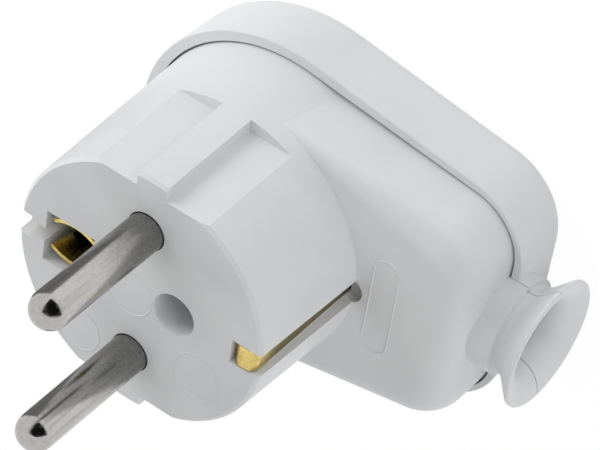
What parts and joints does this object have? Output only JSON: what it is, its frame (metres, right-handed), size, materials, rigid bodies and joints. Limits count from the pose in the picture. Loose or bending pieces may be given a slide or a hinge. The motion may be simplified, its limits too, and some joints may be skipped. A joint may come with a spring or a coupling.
{
  "type": "angled mains plug",
  "caption": "Angled mains plug with round pins, side earth strips, a sprung earth contact, a split housing and a flared cord outlet.",
  "frame": {"origin": "middle of the pin face, midway between the pins", "axes": "+Z the way the pins point, +X towards the cord outlet, +Y from one pin to the other"},
  "size_m": [0.0583, 0.0392, 0.0543],
  "materials": {
    "white_plastic": "moulded, satin",
    "nickel_plate": "nickel plated, finely brushed",
    "brass": "rolled strip",
    "zinc_steel": "zinc plated"
  },
  "bodies": {
    "root": {"front_housing": "white_plastic", "rear_cover": "white_plastic", "line_pin": "nickel_plate", "neutral_pin": "nickel_plate", "terminal_screws": "zinc_steel", "earth_strip": "brass", "earth_pin_contact": "brass", "contact_rivet": "brass", "earth_washer": "zinc_steel", "earth_screw": "zinc_steel", "cover_screw": "zinc_steel", "cover_nut": "zinc_steel", "cord_bar": "white_plastic", "cord_screws": "zinc_steel"}
  },
  "joints": []
}
